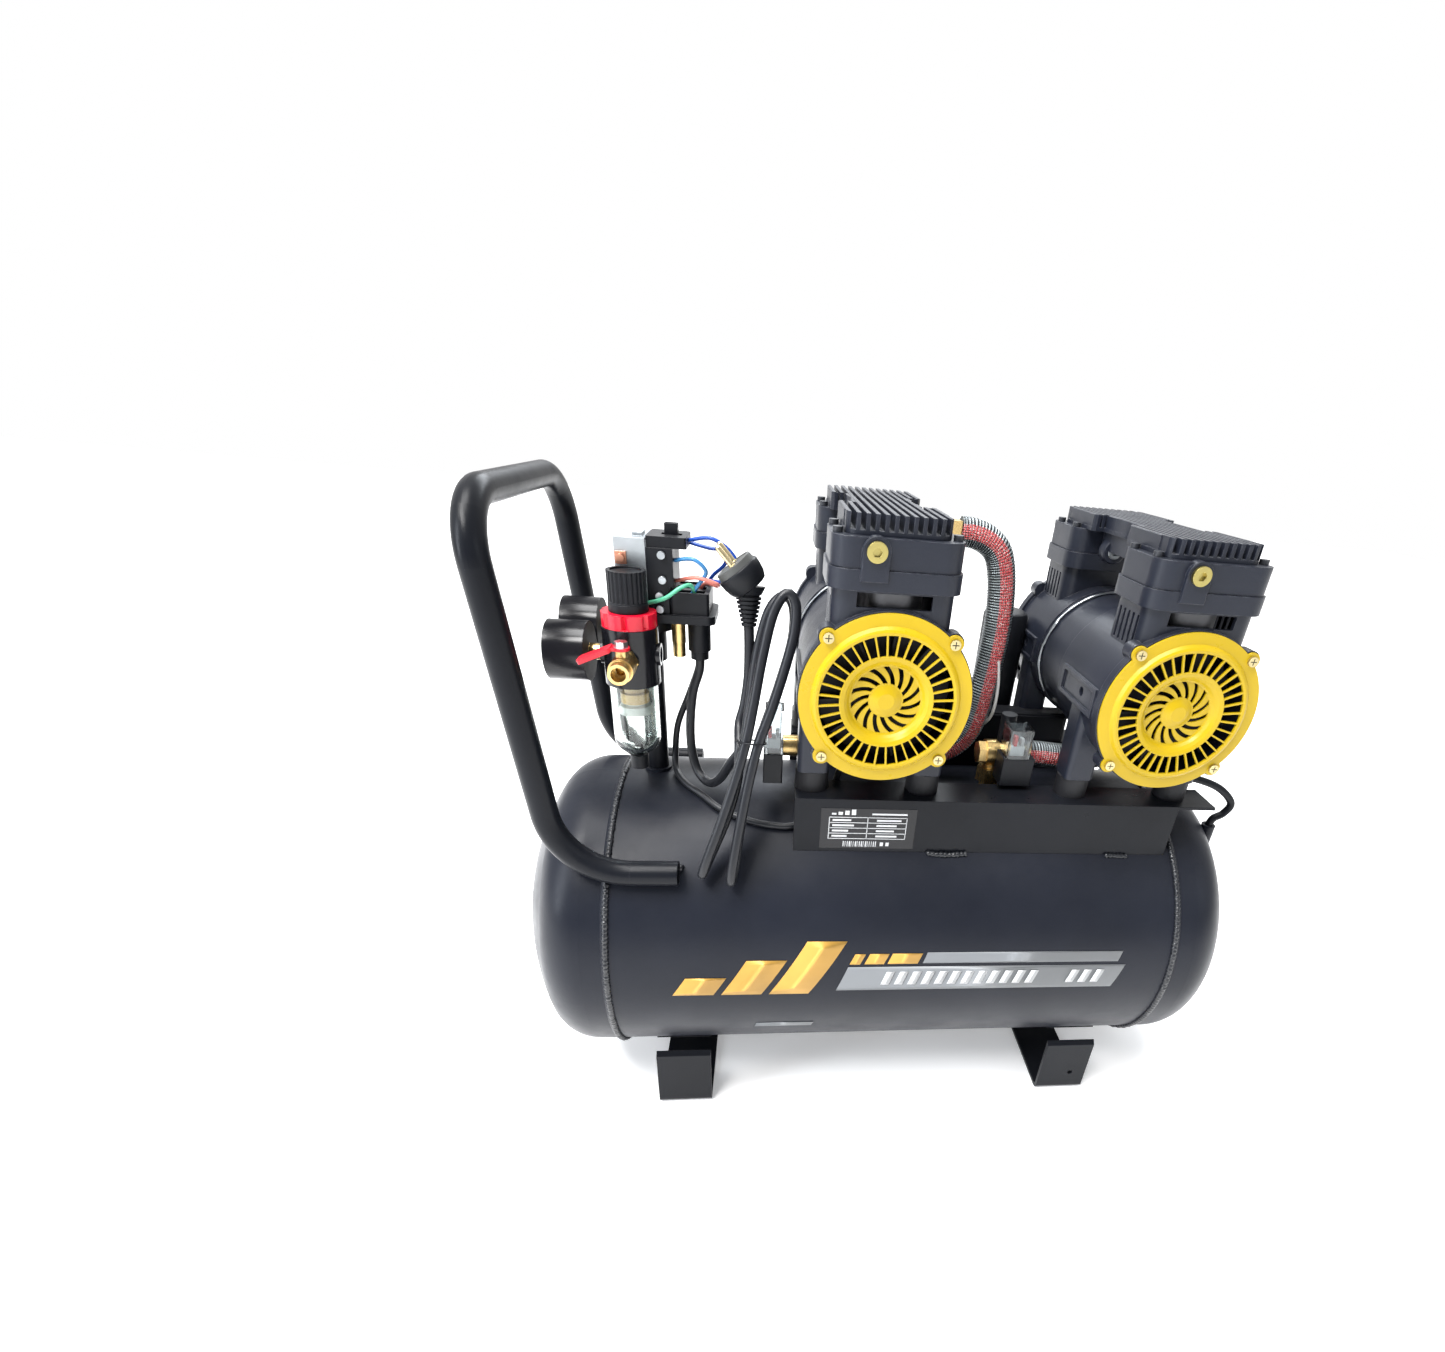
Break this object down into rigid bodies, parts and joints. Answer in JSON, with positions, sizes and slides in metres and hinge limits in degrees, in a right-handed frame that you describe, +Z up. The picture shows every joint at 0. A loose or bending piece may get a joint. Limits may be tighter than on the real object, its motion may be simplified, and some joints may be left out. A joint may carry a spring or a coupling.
{
  "type": "air compressor",
  "caption": "Portable air compressor: horizontal receiver on strap feet, oil-free pumps with finned heads and slotted fan covers, bent-tube handle, filter regulator, gauges and mains lead.",
  "frame": {"origin": "on the floor below the middle of the tank, at the centre of the four foot bolt holes", "axes": "+X along the tank from the handle end to the plain end, +Y to the back, away from the side with the tied mains lead, +Z up"},
  "size_m": [0.734, 0.304, 0.609],
  "materials": {
    "tank_black": "satin black enamel over rolled steel",
    "frame_black": "satin black enamel",
    "pump_grey": "satin graphite paint over die-cast aluminium",
    "cover_yellow": "semi-gloss golden yellow paint",
    "moulded_black": "moulded black nylon",
    "red_plastic": "bright red moulded plastic",
    "lever_red": "red dipped steel lever",
    "clear_bowl": "clear polycarbonate bowl",
    "clear_cap": "clear moulded plastic",
    "filter_media": "sintered filter element with its moulded retainer",
    "needle_red": "red enamelled pointer",
    "brass": "machined brass",
    "brass_screws": "yellow-passivated steel screws and a brass plug",
    "zinc_plate": "zinc-plated sheet",
    "chrome_steel": "bright nickel-plated steel",
    "wire_blue": "coloured PVC wire insulation",
    "braid_steel": "woven steel braid over rubber",
    "cable_black": "black rubber cable sheath",
    "plug_black": "moulded black plug with a grey face",
    "fan_black": "black moulded fans on a steel shaft",
    "bare_aluminium": "bare machined aluminium",
    "mount_rubber": "black rubber mounts"
  },
  "bodies": {
    "compressor": {"tank_shell": "tank_black", "tank_dome_left": "tank_black", "tank_dome_right": "tank_black", "foot_left": "frame_black", "foot_right": "frame_black", "handle_tube": "frame_black", "saddle_rail_front": "frame_black", "saddle_rail_rear": "frame_black", "manifold_post": "frame_black", "regulator_body": "moulded_black", "regulator_ring": "red_plastic", "filter_bowl": "clear_bowl", "filter_insert": "filter_media", "gauge_cases": "moulded_black", "gauge_lenses": "clear_cap", "outlet_valve_body": "brass", "switch_base": "moulded_black", "switch_frame": "zinc_plate", "terminal_block": "moulded_black", "switch_wires": "wire_blue", "safety_valve_body": "brass", "solenoid_bodies": "brass", "solenoid_coils": "moulded_black", "solenoid_caps": "clear_cap", "left_hose": "braid_steel", "right_hose": "braid_steel", "hose_fittings": "brass", "motor_cable": "cable_black", "balance_tube": "cable_black", "mains_cord": "cable_black", "cord_hank": "cable_black", "mains_plug": "plug_black", "drain_cock_body": "brass", "left_crankcases": "pump_grey", "right_crankcases": "pump_grey", "left_stator": "pump_grey", "right_stator": "pump_grey", "left_heads": "pump_grey", "right_heads": "pump_grey", "left_head_cover": "pump_grey", "right_head_cover": "pump_grey", "left_fan_covers": "cover_yellow", "right_fan_covers": "cover_yellow", "cylinder_liners": "bare_aluminium", "pump_fasteners": "brass_screws", "rubber_mounts": "mount_rubber"},
    "knob": {"regulator_knob": "moulded_black"},
    "drain_knob": {"bowl_drain": "moulded_black"},
    "needle_front": {"gauge_needle_front": "needle_red"},
    "needle_rear": {"gauge_needle_rear": "needle_red"},
    "valve_lever": {"outlet_valve_lever": "lever_red"},
    "switch_toggle": {"switch_lever": "moulded_black"},
    "safety_pull": {"safety_valve_ring": "chrome_steel"},
    "drain_screw": {"drain_cock_screw": "brass"},
    "rotor_left": {"left_rotor": "fan_black"},
    "rotor_right": {"right_rotor": "fan_black"},
    "piston_left_front": {"left_piston_front": "bare_aluminium"},
    "piston_left_rear": {"left_piston_rear": "bare_aluminium"},
    "piston_right_front": {"right_piston_front": "bare_aluminium"},
    "piston_right_rear": {"right_piston_rear": "bare_aluminium"}
  },
  "joints": [
    {"name": "regulator_turn", "type": "hinge", "parent": "compressor", "child": "knob", "pos_m": [-0.25, -0.038, 0.52], "axis": [0, 0, 1], "range_deg": [-720, 720]},
    {"name": "bowl_drain_push", "type": "slide", "parent": "compressor", "child": "drain_knob", "axis": [0, 0, 1], "range_m": [0, 0.003], "stiffness_N_per_m": 300, "springref_m": -0.002},
    {"name": "needle_front_turn", "type": "hinge", "parent": "compressor", "child": "needle_front", "pos_m": [-0.311, -0.038, 0.473], "axis": [1, 0, 0], "range_deg": [0, 270], "stiffness_Nm_per_rad": 0.0004},
    {"name": "needle_rear_turn", "type": "hinge", "parent": "compressor", "child": "needle_rear", "pos_m": [-0.311, 0.016, 0.48], "axis": [1, 0, 0], "range_deg": [0, 270], "stiffness_Nm_per_rad": 0.0004},
    {"name": "outlet_lever_turn", "type": "hinge", "parent": "compressor", "child": "valve_lever", "pos_m": [-0.25, -0.078, 0.488], "axis": [0, 0, 1], "range_deg": [0, 90]},
    {"name": "switch_toggle_turn", "type": "hinge", "parent": "compressor", "child": "switch_toggle", "pos_m": [-0.2175, 0, 0.561], "axis": [0, 1, 0], "range_deg": [-20, 0]},
    {"name": "safety_pull_slide", "type": "slide", "parent": "compressor", "child": "safety_pull", "axis": [0, 1, 0], "range_m": [0, 0.004], "stiffness_N_per_m": 800, "springref_m": -0.002},
    {"name": "drain_screw_turn", "type": "hinge", "parent": "compressor", "child": "drain_screw", "pos_m": [0, 0, 0.02], "axis": [0, 0, 1], "range_deg": [0, 720]},
    {"name": "rotor_left_spin", "type": "hinge", "parent": "compressor", "child": "rotor_left", "pos_m": [-0.0405, 0.006, 0.4695], "axis": [0, 1, 0], "continuous": true},
    {"name": "rotor_right_spin", "type": "hinge", "parent": "compressor", "child": "rotor_right", "pos_m": [0.211, 0.006, 0.4695], "axis": [0, 1, 0], "continuous": true},
    {"name": "piston_left_front_stroke", "type": "slide", "parent": "compressor", "child": "piston_left_front", "axis": [0, 0, 1], "range_m": [-0.007, 0.007]},
    {"name": "piston_left_rear_stroke", "type": "slide", "parent": "compressor", "child": "piston_left_rear", "axis": [0, 0, 1], "range_m": [-0.007, 0.007]},
    {"name": "piston_right_front_stroke", "type": "slide", "parent": "compressor", "child": "piston_right_front", "axis": [0, 0, 1], "range_m": [-0.007, 0.007]},
    {"name": "piston_right_rear_stroke", "type": "slide", "parent": "compressor", "child": "piston_right_rear", "axis": [0, 0, 1], "range_m": [-0.007, 0.007]}
  ]
}
